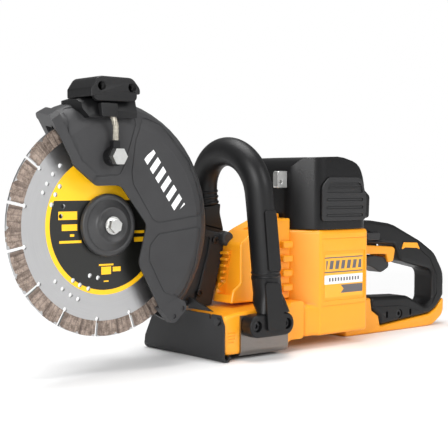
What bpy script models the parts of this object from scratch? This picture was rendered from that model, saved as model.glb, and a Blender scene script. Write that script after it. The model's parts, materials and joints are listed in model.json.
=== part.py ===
"""Cordless cut-off saw for rescue work, with a 230 mm diamond blade.

Every size here is in millimetres in the saw's own coordinates: X runs back
from the blade's axis, Y runs across from the blade's plane towards the drive
arm, and Z runs up from the blade's axis. put() turns them into metres, in a
frame whose origin is on the ground under the middle of the saw.
"""
import math

import bmesh
import bpy
from mathutils import Matrix, Vector

MM = 0.001

# The blade's centre in the part's frame: the ground is at Z = 0.
SPINDLE = Vector((-228.2, -24.2, 153.0))

# Blade and its clamp
BLADE_RADIUS = 115.0
BLADE_THICKNESS = 2.8
BLADE_SEGMENTS = 15
FIRST_GULLET = 167.5
GULLET_WIDTH = 3.0
GULLET_ROOT = 97.0
GULLET_EYE = 2.6
BLADE_BORE = 11.1
SHAFT_RADIUS = 9.1
FLANGE_RADIUS = 32.5

# Guard
GUARD_RADIUS = 130.0
GUARD_WALL = 3.0
GUARD_NEAR = -20.0
GUARD_EDGE = 25.0
GUARD_SEAM = 5.0
GUARD_FAR = 26.0
GUARD_HUB = 29.5
GUARD_LEAN = 0.3

# Drive arm: a belt runs from the motor to the spindle
NOSE_RADIUS = 22.0
ARM_END = 30.0
COVER_NEAR = 28.0
CASE_NEAR = 40.0
CASE_FAR = 60.0
LID_FAR = 68.0
MOTOR_X = 222.0
MOTOR_Z = -54.0
MOTOR_END = 34.0
SPINDLE_PULLEY = 22.0
MOTOR_PULLEY = 16.0
BELT_THICKNESS = 2.0

# Body
FOOT_X = 127.0
FOOT_BOTTOM = -153.0
SHEET = 2.5
SKIRT_NEAR = -36.0
SKIRT_FAR = 64.0
SKIRT_BOTTOM = -146.0
SKIRT_TOP = -94.5
MOTOR_HOUSING_NEAR = -5.0
BODY_FRONT = 260.0
BODY_REAR = 371.0
BODY_NEAR = -30.0
BODY_FAR = 76.0
BODY_TOP = -12.0
BODY_BOTTOM = -139.0

# Front loop handle
LOOP_NEAR_Y = -41.0
LOOP_FAR_Y = 57.0
LOOP_LEAN = 0.115
LOOP_FOOT_X = 193.0
LOOP_FOOT_Z = -107.0
LOOP_ARC_Z = 31.0
LOOP_HALF_X = 15.5
LOOP_HALF_Y = 17.0
LOOP_FAR_END = 18.0

# Rear handle
GRIP_NEAR = 8.0
GRIP_FAR = 44.0
GAP = 0.3

COLOURS = {
    "yellow": ((1.0, 0.42, 0.03), 0.45, 0.0),
    "guard_grey": ((0.06, 0.06, 0.06), 0.6, 0.0),
    "black": ((0.015, 0.015, 0.015), 0.5, 0.0),
    "panel_grey": ((0.07, 0.07, 0.07), 0.55, 0.0),
    "blade_steel": ((0.6, 0.6, 0.6), 0.3, 1.0),
    "bright_steel": ((0.62, 0.62, 0.6), 0.25, 1.0),
    "dark_steel": ((0.05, 0.05, 0.05), 0.45, 1.0),
    "plate_steel": ((0.18, 0.16, 0.15), 0.4, 1.0),
    "rubber": ((0.02, 0.02, 0.02), 0.8, 0.0),
    "copper": ((0.6, 0.25, 0.12), 0.35, 1.0),
    "board": ((0.02, 0.15, 0.06), 0.5, 0.0),
    "braid": ((0.5, 0.46, 0.38), 0.4, 0.8),
}


def clear_scene():
    for thing in list(bpy.data.objects):
        bpy.data.objects.remove(thing, do_unlink=True)


def material(finish):
    known = bpy.data.materials.get(finish)
    if known:
        return known
    colour, roughness, metallic = COLOURS[finish]
    made = bpy.data.materials.new(finish)
    made.use_nodes = True
    shader = made.node_tree.nodes["Principled BSDF"]
    shader.inputs["Base Color"].default_value = (*colour, 1.0)
    shader.inputs["Roughness"].default_value = roughness
    shader.inputs["Metallic"].default_value = metallic
    return made


def put(name, finish, bm, pivot=(0.0, 0.0, 0.0)):
    """Make the object whose mesh bm is drawn in millimetres round the blade's centre."""
    pivot = Vector(pivot)
    bmesh.ops.remove_doubles(bm, verts=bm.verts, dist=0.001)
    bmesh.ops.recalc_face_normals(bm, faces=bm.faces)
    for vert in bm.verts:
        vert.co = (vert.co - pivot) * MM
    mesh = bpy.data.meshes.new(name)
    bm.to_mesh(mesh)
    bm.free()
    mesh.shade_smooth()
    mesh.set_sharp_from_angle(angle=math.radians(35))
    made = bpy.data.objects.new(name, mesh)
    made.location = (SPINDLE + pivot) * MM
    bpy.context.scene.collection.objects.link(made)
    if finish:
        mesh.materials.append(material(finish))
    else:
        made.hide_render = True
        made.display_type = "WIRE"
    return made


def cut(target, cutter, operation="DIFFERENCE"):
    modifier = target.modifiers.new(cutter.name, "BOOLEAN")
    modifier.operation = operation
    modifier.object = cutter
    return target


def soften(target, width, segments=2, angle=40):
    modifier = target.modifiers.new("edges", "BEVEL")
    modifier.width = width * MM
    modifier.segments = segments
    modifier.limit_method = "ANGLE"
    modifier.angle_limit = math.radians(angle)
    return target


def arc(centre, radius, start, end, steps):
    """Points on an arc, in degrees measured up from the +X axis."""
    points = []
    for step in range(steps + 1):
        turn = math.radians(start + (end - start) * step / steps)
        points.append((centre[0] + radius * math.cos(turn), centre[1] + radius * math.sin(turn)))
    return points


def fillet(corners, step=18):
    """Round each corner that is given as (u, v, radius)."""
    outline = []
    count = len(corners)
    for index, corner in enumerate(corners):
        point = Vector(corner[:2])
        if len(corner) < 3:
            outline.append(tuple(point))
            continue
        radius = corner[2]
        back = (Vector(corners[index - 1][:2]) - point).normalized()
        ahead = (Vector(corners[(index + 1) % count][:2]) - point).normalized()
        half = back.angle(ahead) / 2
        centre = point + (back + ahead).normalized() * (radius / math.sin(half))
        first = point + back * (radius / math.tan(half)) - centre
        last = point + ahead * (radius / math.tan(half)) - centre
        turn = first.angle_signed(last)
        steps = max(1, math.ceil(abs(math.degrees(turn)) / step))
        for number in range(steps + 1):
            spoke = Matrix.Rotation(-turn * number / steps, 2) @ first
            outline.append(tuple(centre + spoke))
    return outline


def spread(axis, u, v, along):
    """A point whose outline place is (u, v) and whose place along the axis is given."""
    if axis == "X":
        return (along, u, v)
    if axis == "Y":
        return (u, along, v)
    return (u, v, along)


def prism(name, finish, outline, lo, hi, axis="Y", pivot=(0.0, 0.0, 0.0), lean=0.0):
    """Push an outline from lo to hi; lean shifts it sideways for each step along the axis."""
    bm = bmesh.new()
    rings = []
    for along in (lo, hi):
        shift = lean * (along - lo)
        rings.append([bm.verts.new(spread(axis, u + shift, v, along)) for u, v in outline])
    bm.faces.new(rings[0])
    bm.faces.new(list(reversed(rings[1])))
    count = len(outline)
    for index in range(count):
        after = (index + 1) % count
        bm.faces.new((rings[0][index], rings[0][after], rings[1][after], rings[1][index]))
    return put(name, finish, bm, pivot)


def block(name, finish, low, high, pivot=(0.0, 0.0, 0.0)):
    outline = [(low[0], low[2]), (high[0], low[2]), (high[0], high[2]), (low[0], high[2])]
    return prism(name, finish, outline, low[1], high[1], pivot=pivot)


def turned(name, finish, profile, centre=(0.0, 0.0), steps=32, sweep=None, pivot=None):
    """Turn a closed profile of (radius, y) points about a line along Y."""
    bm = bmesh.new()
    start, end = sweep or (0.0, 360.0)
    whole = sweep is None
    spokes = []
    for step in range(steps if whole else steps + 1):
        turn = math.radians(start + (end - start) * step / steps)
        spokes.append((math.cos(turn), math.sin(turn)))
    rings = []
    for radius, y in profile:
        if radius == 0:
            pole = bm.verts.new((centre[0], y, centre[1]))
            rings.append([pole] * len(spokes))
        else:
            rings.append([bm.verts.new((centre[0] + radius * c, y, centre[1] + radius * s))
                          for c, s in spokes])
    count = len(profile)
    last = len(spokes) if whole else len(spokes) - 1
    for index in range(count):
        ring, after = rings[index], rings[(index + 1) % count]
        for step in range(last):
            following = (step + 1) % len(spokes)
            corners = []
            for vert in (ring[step], ring[following], after[following], after[step]):
                if vert not in corners:
                    corners.append(vert)
            if len(corners) > 2:
                bm.faces.new(corners)
    if not whole:
        bm.faces.new([ring[0] for ring in rings])
        bm.faces.new([ring[-1] for ring in reversed(rings)])
    return put(name, finish, bm, pivot or (centre[0], 0.0, centre[1]))


def rod(name, finish, centre, radius, lo, hi, steps=24, pivot=None):
    profile = [(0, lo), (radius, lo), (radius, hi), (0, hi)]
    return turned(name, finish, profile, centre, steps, pivot=pivot)


def ring(name, finish, centre, inner, outer, lo, hi, steps=28, pivot=None):
    profile = [(inner, lo), (outer, lo), (outer, hi), (inner, hi)]
    return turned(name, finish, profile, centre, steps, pivot=pivot)


def swept(name, finish, path, half_u, half_v, side, sides=16):
    """Sweep an oval along a path; side is the direction that half_u is measured in."""
    bm = bmesh.new()
    side = Vector(side)
    rings = []
    for index, point in enumerate(path):
        before = Vector(path[max(index - 1, 0)])
        after = Vector(path[min(index + 1, len(path) - 1)])
        tangent = (after - before).normalized()
        across = tangent.cross(side).normalized()
        outward = across.cross(tangent)
        loop = []
        for step in range(sides):
            turn = 2 * math.pi * step / sides
            offset = outward * (half_u * math.cos(turn)) + across * (half_v * math.sin(turn))
            loop.append(bm.verts.new(Vector(point) + offset))
        rings.append(loop)
    for ring_a, ring_b in zip(rings, rings[1:]):
        for step in range(sides):
            following = (step + 1) % sides
            bm.faces.new((ring_a[step], ring_a[following], ring_b[following], ring_b[step]))
    bm.faces.new(rings[0])
    bm.faces.new(list(reversed(rings[-1])))
    return put(name, finish, bm)


def socket_screw(name, centre, radius, lo, hi):
    """A round screw head whose hexagon socket opens towards -Y."""
    screw = rod(name, "dark_steel", centre, radius, lo, hi, 16)
    hexagon = arc(centre, radius * 0.54, 0, 300, 5)
    return cut(screw, prism("drive_in_" + name, None, hexagon, lo - 5, (lo + hi) / 2))


def strap(near, far, steps=10):
    """The outline of a belt laid round two circles, each (x, z, radius)."""
    gap = Vector((far[0] - near[0], far[1] - near[1]))
    heading = math.degrees(math.atan2(gap.y, gap.x))
    lift = math.degrees(math.acos((near[2] - far[2]) / gap.length))
    round_far = arc(far[:2], far[2], heading - lift, heading + lift, steps)
    round_near = arc(near[:2], near[2], heading + lift, heading + 360 - lift, steps)
    return round_far + round_near


# --- Blade and spindle -------------------------------------------------------

def blade_outline():
    outline = []
    pitch = 360.0 / BLADE_SEGMENTS
    half_slot = math.degrees(GULLET_WIDTH / 2 / BLADE_RADIUS)
    half_root = math.degrees(GULLET_WIDTH / 2 / (GULLET_ROOT + GULLET_EYE))
    for number in range(BLADE_SEGMENTS):
        middle = FIRST_GULLET + number * pitch
        eye = (GULLET_ROOT * math.cos(math.radians(middle)),
               GULLET_ROOT * math.sin(math.radians(middle)))
        outline += arc((0, 0), GULLET_ROOT + GULLET_EYE, middle - half_root, middle - half_root, 1)[:1]
        outline += arc(eye, GULLET_EYE, middle - 50, middle - 310, 5)
        outline += arc((0, 0), GULLET_ROOT + GULLET_EYE, middle + half_root, middle + half_root, 1)[:1]
        outline += arc((0, 0), BLADE_RADIUS, middle + half_slot, middle + pitch - half_slot, 4)
    return outline


def make_spindle():
    half = BLADE_THICKNESS / 2
    blade = prism("blade", "blade_steel", blade_outline(), -half, half)
    cut(blade, rod("bore_of_blade", None, (0, 0), BLADE_BORE, -5, 5))

    profile = [(0, -1.2), (10.8, -1.2), (10.8, half), (SHAFT_RADIUS, half), (SHAFT_RADIUS, 57),
               (8, 57), (8, 65), (0, 65)]
    shaft = turned("spindle_shaft", "bright_steel", profile, steps=24)
    cut(shaft, rod("thread_in_shaft", None, (0, 0), 5.3, -5, 22, 16))

    ring("inner_flange", "dark_steel", (0, 0), SHAFT_RADIUS + GAP, 31, half + GAP, 9.7, 32)
    dish = [(5.5, -1.7), (31, -1.7), (FLANGE_RADIUS, -4), (FLANGE_RADIUS, -7), (30, -8.6),
            (19.5, -13), (17.5, -14), (14, -12.2), (5.5, -12.2)]
    turned("outer_flange", "panel_grey", dish, steps=40)

    bolt = turned("flange_bolt", "bright_steel",
                  [(0, -14.8), (8.6, -14.8), (8.6, -12.5), (5.0, -12.5), (5.0, 14), (0, 14)], steps=24)
    hexagon = prism("head_of_bolt", None, arc((0, 0), 7.6, 30, 330, 5), -20.5, -14.0)
    cut(bolt, hexagon, "UNION")

    ring("spindle_pulley", "dark_steel", (0, 0), SHAFT_RADIUS + GAP, SPINDLE_PULLEY, 44, 56, 32)


# --- Guard -------------------------------------------------------------------

def guard_reach(tip_start):
    """The guard's outline beyond its rim, shared by both halves."""
    return [tip_start, (150, -70), (150, 150), (-96, 150)]


def make_guard():
    bend = (GUARD_RADIUS - GUARD_EDGE, GUARD_SEAM)
    outside = arc(bend, GUARD_EDGE, 270, 360, 6)
    inside = arc(bend, GUARD_EDGE - GUARD_WALL, 360, 270, 6)
    hub_side = 24.0
    profile = [(hub_side, GUARD_NEAR)] + outside + inside + [(hub_side, GUARD_NEAR + GUARD_WALL)]
    shell = turned("guard_shell", "guard_grey", profile, steps=34, sweep=(-62, 142))
    near_edge = fillet([(-72, 112), (-51, 60, 12), (-25, 40.5, 8), (5, 41, 10), (38, 0, 9),
                        (27, -40, 14), (54.5, -88.4), (70, -106), (90, -88)] + guard_reach((97, -95)))
    cut(shell, prism("guard_near_reach", None, near_edge, GUARD_NEAR - 2, 60, lean=GUARD_LEAN), "INTERSECT")

    ear = fillet([(54.5, -88.4), (71, -105.8, 3), (76, -105.6, 4), (92, -91.6, 5),
                  (89, -84, 5), (79, -79, 3)])
    cut(shell, prism("guard_ear", None, ear, GUARD_NEAR + 0.05, -11), "UNION")

    over = arc(bend, GUARD_EDGE + GAP, 270, 360, 6)
    profile = [(40, GUARD_NEAR - GAP)] + over + arc((GUARD_RADIUS - 7, GUARD_FAR - 7), 7 + GAP, 0, 70, 3)
    profile += arc((GUARD_RADIUS - 7.5, GUARD_FAR - 9), 11, 70, 0, 5)
    profile += [(GUARD_RADIUS + 3.5, -18), (GUARD_RADIUS - 0.5, -22.6), (40, -22.6)]
    lip = turned("guard_lip", "guard_grey", profile, steps=8, sweep=(110, 150))
    roll = fillet([(119.5, -9, 7), (119.5, 11, 4), (98, 14, 3), (98, GUARD_FAR - 1, 3),
                   (133.4, GUARD_FAR - 1, 9), (133.4, -17.5, 3), (128, -18.5, 3)])
    roll = turned("lip_roll", None, roll, steps=8, sweep=(112, 148))
    ahead = [(-52, 60.5), (-73.5, 113), (-98, 150), (-120, 150), (-120, 60.5)]
    cut(roll, prism("roll_reach", None, ahead, GUARD_NEAR - 4, 60, lean=GUARD_LEAN), "INTERSECT")
    cut(lip, roll, "UNION")
    band = [(-89, 124), (-51, 60), (-31, 45), (-26, 52), (-44, 66), (-68, 110), (-82, 142), (-98, 142)]
    cut(lip, prism("lip_reach", None, band, GUARD_NEAR - 4, 60, lean=GUARD_LEAN), "INTERSECT")

    far_bend = (GUARD_RADIUS - 7, GUARD_FAR - 7)
    outside = arc(far_bend, 7, 0, 90, 3)
    inside = arc(far_bend, 7 - GUARD_WALL, 90, 0, 3)
    seam = GUARD_SEAM + GAP
    profile = ([(GUARD_RADIUS, seam)] + outside + [(GUARD_HUB, GUARD_FAR), (GUARD_HUB, GUARD_FAR + 1.5),
               (NOSE_RADIUS + 0.4, GUARD_FAR + 1.5), (NOSE_RADIUS + 0.4, 17), (GUARD_HUB, 17),
               (GUARD_HUB, GUARD_FAR - GUARD_WALL)] + inside + [(GUARD_RADIUS - GUARD_WALL, seam)])
    back = turned("guard_back", "guard_grey", profile, steps=48)
    far_edge = [(-72, 112), (-38, 62)] + arc((-14, 0), 34, 140, 300, 8)
    far_edge += [(54.5, -88.4), (70, -106), (90, -88)] + guard_reach((97, -95))
    cut(back, prism("guard_far_reach", None, far_edge, GUARD_NEAR - 2, 60, lean=GUARD_LEAN), "INTERSECT")

    cover = arc(bend, GUARD_EDGE + GAP, 360, 275, 5)
    profile = [(GUARD_RADIUS + 3.5, 14), (GUARD_RADIUS + GAP, 14)] + cover
    profile += [(107, -27), (116, -28), (130, -24), (GUARD_RADIUS + 3.5, -14)]
    saddle = turned("guard_saddle", "black", profile, steps=12, sweep=(76, 116))
    reach = [(-44, 140), (-44, 117), (-37, 108), (20, 109.5), (20, 140)]
    cut(saddle, prism("saddle_reach", None, reach, -40, 40), "INTERSECT")

    floor = arc((0, 0), GUARD_RADIUS + 4, 82.2, 107.3, 5)
    crown = [(-40, 137, 4), (-32, 149, 9), (9, 149, 10), (19, 138, 8)]
    handle = prism("guard_handle", "black", fillet(floor + crown), -36, 10)
    soften(handle, 4.5, 3)
    apron = fillet([(-36, 124, 5), (15, 125.5, 5), (15, 136), (-36, 136)])
    apron = prism("handle_apron", None, apron, -35.6, -29)
    cut(handle, soften(apron, 1.5), "UNION")
    for number, x in enumerate((-28, 8)):
        cut(handle, rod("socket_%d" % number, None, (x, 139.2), 4.6, -50, -16, 14))

    boss = prism("hose_boss", "black", [(-27, 109), (-9, 109), (-8.4, 123), (-28.6, 123)], -36, -28.4)
    soften(boss, 1.5)
    cut(boss, block("boss_bore", None, (-16, -34.8, 100), (-8.2, -26, 113.2)))

    route = [(-12.2, -31.2, 112.6), (-11.6, -31.2, 109), (-9.5, -30.4, 105.5), (-7, -29, 101),
             (-5.8, -27.4, 96), (-5.6, -27, 91), (-5.8, -27, 86.4)]
    swept("water_hose", "braid", route, 3.1, 3.1, (0, 1, 0), 10)
    ring("banjo_fitting", "black", (-7, 70), 4.4, 9.5, -30, GUARD_NEAR - GAP, 20)
    bolt = rod("banjo_bolt", "bright_steel", (-7, 70), 4.0, -31, GUARD_NEAR - 1, 16)
    hexagon = [(-7 + x, 70 + z) for x, z in arc((0, 0), 9.0, 0, 300, 5)]
    cut(bolt, prism("head_of_banjo_bolt", None, hexagon, -37.5, -30.3), "UNION")
    neck = prism("banjo_neck", None, [(-10, 75), (-2, 75), (-2, 86), (-10, 86)], -29.7, -23)
    cut(bpy.data.objects["banjo_fitting"], neck, "UNION")

    for name, x, z in (("guard_screw_upper", 86, -91), ("guard_screw_lower", 74.5, -99)):
        cut(shell, rod("hole_for_" + name, None, (x, z), 2.6, -30, -13.5, 12))
        rod(name, "dark_steel", (x, z), 2.3, GUARD_NEAR + 1.2, -13.8, 12)


# --- Drive arm and motor -----------------------------------------------------

def make_drive():
    motor = (MOTOR_X, MOTOR_Z)
    outline = arc((0, 0), ARM_END, 77, 257, 10)
    outline += fillet([(122, -93, 4), (136, -97.5), (152, -98.6), (166, -98.2, 3), (172, -73), (183, -37),
                       (194, -26, 7), (186, -16, 8), (150, -9)])
    cover = soften(prism("drive_cover", "panel_grey", outline, COVER_NEAR, CASE_NEAR - GAP), 1.5)
    cut(cover, rod("nose", None, (0, 0), NOSE_RADIUS, 14, COVER_NEAR + 6, 32), "UNION")
    cut(cover, rod("bearing_seat", None, (0, 0), 16.3, 0, 26, 28))
    cut(cover, rod("shaft_way", None, (0, 0), 11, 0, 60, 24))

    for name, x, z in (("cover_screw_upper", 170, -22.6), ("cover_screw_lower", 146.5, -82.5)):
        cut(cover, rod("hole_for_" + name, None, (x, z), 2.5, 20, CASE_NEAR - 2, 12))
        head = [(0, 24.9), (3.6, 24.9), (4.3, 25.6), (4.3, 27.9), (2.3, 27.9), (2.3, 36), (0, 36)]
        turned(name, "dark_steel", head, (x, z), 16)

    case = prism("drive_case", "black", strap((0, 0, ARM_END), (*motor, MOTOR_END)), CASE_NEAR, CASE_FAR)
    cut(case, prism("case_inside", None, strap((0, 0, ARM_END - 3), (*motor, MOTOR_END - 3)), 42.5, 80))
    cut(case, rod("case_way_of_spindle", None, (0, 0), 11, 20, 60))
    cut(case, rod("case_way_of_motor", None, motor, 9, 20, 60))

    lid = prism("drive_lid", "black", strap((0, 0, ARM_END), (*motor, MOTOR_END)), CASE_FAR + GAP, LID_FAR)
    soften(lid, 2.5)
    for name, centre in (("spindle", (0, 0)), ("motor", motor)):
        cut(lid, rod("lid_seat_of_" + name, None, centre, 13.3, 50, 66))
    cut(lid, rod("lid_way_of_lock", None, (41, -10), 4.4, 50, 80, 16))

    ring("spindle_bearing_near", "bright_steel", (0, 0), SHAFT_RADIUS + GAP, 16, 16, 25.6)
    ring("spindle_bearing_far", "bright_steel", (0, 0), 8 + GAP, 13, 58, 65.5)
    ring("motor_bearing_near", "bright_steel", motor, 5 + GAP, 11, -1.6, 2.8)
    ring("motor_bearing_far", "bright_steel", motor, 5 + GAP, 13, 58, 65.5)
    ring("motor_stator", "copper", motor, 22.3, 33, 5, 29)

    near_end = SPINDLE_PULLEY + GAP
    far_end = MOTOR_PULLEY + GAP
    belt = strap((0, 0, near_end + BELT_THICKNESS), (*motor, far_end + BELT_THICKNESS))
    belt = prism("drive_belt", "rubber", belt, 45, 55)
    cut(belt, prism("belt_inside", None, strap((0, 0, near_end), (*motor, far_end)), 30, 80))

    rotor = [(0, -1.5), (5, -1.5), (5, 4), (21.3, 5), (21.3, 29), (5, 30), (5, 65), (0, 65)]
    turned("motor_rotor", "dark_steel", rotor, motor, 28)
    fan = ring("cooling_fan", "black", motor, 5 + GAP, 31, 31.5, 33.5)
    for number in range(7):
        turn = math.radians(number * 360 / 7)
        middle = Vector((MOTOR_X, MOTOR_Z)) + Vector((math.cos(turn), math.sin(turn))) * 20
        lean = Vector((math.cos(turn + 0.6), math.sin(turn + 0.6))) * 9
        side = Vector((-lean.y, lean.x)).normalized() * 0.9
        outline = [middle - lean - side, middle + lean - side, middle + lean + side, middle - lean + side]
        cut(fan, prism("fan_blade_%d" % number, None, [tuple(p) for p in outline], 33, 38), "UNION")
    ring("motor_pulley", "dark_steel", motor, 5 + GAP, MOTOR_PULLEY, 44, 56)

    pin = [(0, 58.5), (4, 58.5), (4, 72.6), (8, 72.6), (8, 78.5), (6.5, 80), (0, 80)]
    turned("spindle_lock_button", "black", pin, (41, -10), 18)


# --- Body shells -------------------------------------------------------------

def make_body():
    outline = fillet([(129.8, SKIRT_BOTTOM, 7), (227, SKIRT_BOTTOM), (232, BODY_BOTTOM), (259.6, BODY_BOTTOM),
                      (259.6, SKIRT_TOP), (150, SKIRT_TOP - 5), (129.8, -103, 7)])
    skirt = prism("lower_housing", "yellow", outline, SKIRT_NEAR, SKIRT_FAR)
    soften(skirt, 5, 3)
    cut(skirt, prism("skirt_waist", None, [(226, -50), (300, -50), (300, -29), (236, -29)], -200, 0, "Z"))
    cut(skirt, block("skirt_inside", None, (136, SKIRT_NEAR + 12, -170), (254, SKIRT_FAR - 5, -108)))

    outline = fillet([(168, -93.9), (259.6, -93.9), (259.6, 2), (232, 0, 20), (204, -11, 25), (182, -26, 6),
                      (182, -72), (171, -80)])
    housing = prism("motor_housing", "yellow", outline, MOTOR_HOUSING_NEAR, CASE_NEAR - GAP)
    soften(housing, 2.0)
    cut(housing, prism("cover_clearance", None, [(120, -110), (172, -110), (176, -73), (186, -38), (198, -24),
                       (188, -12), (120, -5)], COVER_NEAR - GAP, 60))
    cut(housing, rod("motor_bay", None, (MOTOR_X, MOTOR_Z), MOTOR_END, 3, 60, 32))
    cut(housing, rod("bearing_bay", None, (MOTOR_X, MOTOR_Z), 11.3, -2, 10, 24))

    plan = fillet([(BODY_FRONT, 1, 5), (286, BODY_NEAR, 5), (BODY_REAR, BODY_NEAR, 6),
                   (BODY_REAR, BODY_FAR, 8), (286, BODY_FAR, 5), (BODY_FRONT, 62)])
    rear = prism("rear_housing", "yellow", plan, BODY_BOTTOM, BODY_TOP, "Z")
    soften(rear, 9, 3)
    skirt_tail = fillet([(BODY_FRONT + 1, -29), (312, -29, 10), (322, -20), (322, 56), (BODY_FRONT + 1, 56)])
    cut(rear, soften(prism("rear_skirt", None, skirt_tail, BODY_BOTTOM + 0.5, -100, "Z"), 6), "UNION")
    room = [(267, 3), (291, -24), (365, -24), (365, 69), (289, 69), (267, 58)]
    cut(rear, prism("rear_inside", None, room, -131, -24, "Z"))
    cut(rear, block("rear_window", None, (250, 0, -84), (280, 56, -34)))
    block("controller_module", "board", (282, 4, -86), (350, 58, -52))

    plate = fillet([(-38.5, -103), (-38.5, -148.5, 7), (66.5, -148.5, 7), (66.5, -103), (64.3, -103),
                    (64.3, -146.3, 4.6), (-36.3, -146.3, 4.6), (-36.3, -103)])
    prism("belly_plate", "plate_steel", plate, 153, 225, "X")

    curl = [(FOOT_X, -101)] + arc((FOOT_X + 5.5, FOOT_BOTTOM + 5.5), 5.5, 180, 360, 6)
    curl += [(FOOT_X + 11, FOOT_BOTTOM + 6.4)]
    curl += [(FOOT_X + 11 - SHEET, FOOT_BOTTOM + 6.4)]
    curl += arc((FOOT_X + 5.5, FOOT_BOTTOM + 5.5), 5.5 - SHEET, 360, 180, 4) + [(FOOT_X + SHEET, -101)]
    foot = prism("foot_plate", "guard_grey", curl, -39, 107)
    cut(foot, prism("foot_slope", None, [(79, -90), (105.5, -138), (107.5, -150), (130, -150), (130, -90)],
                    100, 160, "X"))
    cut(foot, prism("foot_corner", None, [(-50, -90), (-27, -90), (-39, -112), (-50, -112)], 100, 160, "X"))
    middle = (-30.3, -108.2)
    screw = prism("foot_screw", "dark_steel", arc(middle, 4.2, 0, 340, 17), FOOT_X - 3, FOOT_X - 0.1, "X")
    shank = prism("shank_of_foot_screw", None, arc(middle, 2.2, 0, 330, 11), FOOT_X - 1, FOOT_X + 2.4, "X")
    cut(screw, shank, "UNION")
    cut(foot, prism("hole_for_foot_screw", None, arc(middle, 2.5, 0, 330, 11), 120, 140, "X"))
    prism("foot_gusset", "guard_grey", [(-15, -98.8), (27.4, -85.5), (27.4, -98.8)], 131, 133.4, "X")
    cut(foot, prism("foot_notch", None, [(-20, -90), (-13, -90), (-15, -106), (-18, -106)], 100, 160, "X"))


def make_hood():
    plan = fillet([(262, 4, 19), (286, BODY_NEAR, 20), (BODY_REAR + 2, BODY_NEAR, 18),
                   (BODY_REAR + 2, BODY_FAR, 18), (286, BODY_FAR, 20), (262, 62, 19)])
    hood = prism("battery_hood", "black", plan, BODY_TOP + GAP, 90, "Z")
    profile = fillet([(250, BODY_TOP - 9), (400, BODY_TOP - 9), (400, 0), (BODY_REAR + 2, 24, 16),
                      (352, 68, 24), (320, 76, 40), (272, 74, 12), (250, 40)])
    cut(hood, prism("hood_profile", None, profile, BODY_NEAR - 9, BODY_FAR + 9), "INTERSECT")
    soften(hood, 15, 5, 50)
    cut(hood, block("hood_tunnel", None, (322, BODY_NEAR + 4, -30), (400, BODY_FAR - 4, 65)))
    room = [(269, 1), (287, -25), (330, -25), (330, 71), (292, 71), (269, 58)]
    cut(hood, prism("hood_room", None, room, -30, 67, "Z"))
    panel = fillet([(289, -2, 3), (361, -2, 3), (362.5, 28, 10), (348, 50, 10), (299, 50, 9), (289, 38, 8)])
    grille = soften(prism("grille_panel", "panel_grey", panel, BODY_NEAR - 2.6, BODY_NEAR - GAP), 0.8, 1)
    for number in range(3):
        z = 4 + number * 9
        cut(grille, block("louvre_%d" % number, None, (294, -40, z), (357, BODY_NEAR - 1.2, z + 3.2)))
    eye = fillet([(246, 38, 2), (261.7, 38), (261.7, 58), (246, 58, 3)])
    eye = prism("strap_eye", "bright_steel", eye, 3, 11)
    cut(eye, rod("eye_hole", None, (251, 45), 2.2, -10, 30, 12))
    block("bay_bulkhead", "black", (269.3, 2.7, BODY_TOP + GAP), (273, 57.5, 66.7))
    block("terminal_block", "panel_grey", (300, 2, BODY_TOP + GAP), (340, 44, -1.0))


def make_battery():
    case = fillet([(285, 0, 3), (386, 0, 4), (387, 28, 6), (374, 38, 6), (350, 58, 12),
                   (318, 64, 12), (285, 64, 6)])
    pack = soften(prism("battery_pack", "black", case, -18, 64), 4, 2)
    cut(pack, block("latch_pocket", None, (384, 9.6, 7.6), (400, 36.4, 22.4)))
    latch = fillet([(387.4, 8, 2), (392, 8, 2), (392, 22, 2), (387.4, 22, 2)])
    prism("battery_latch", "panel_grey", latch, 10, 36)


# --- Handles -----------------------------------------------------------------

def loop_point(y, z):
    return (LOOP_FOOT_X - LOOP_LEAN * (z - LOOP_FOOT_Z), y, z)


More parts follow.
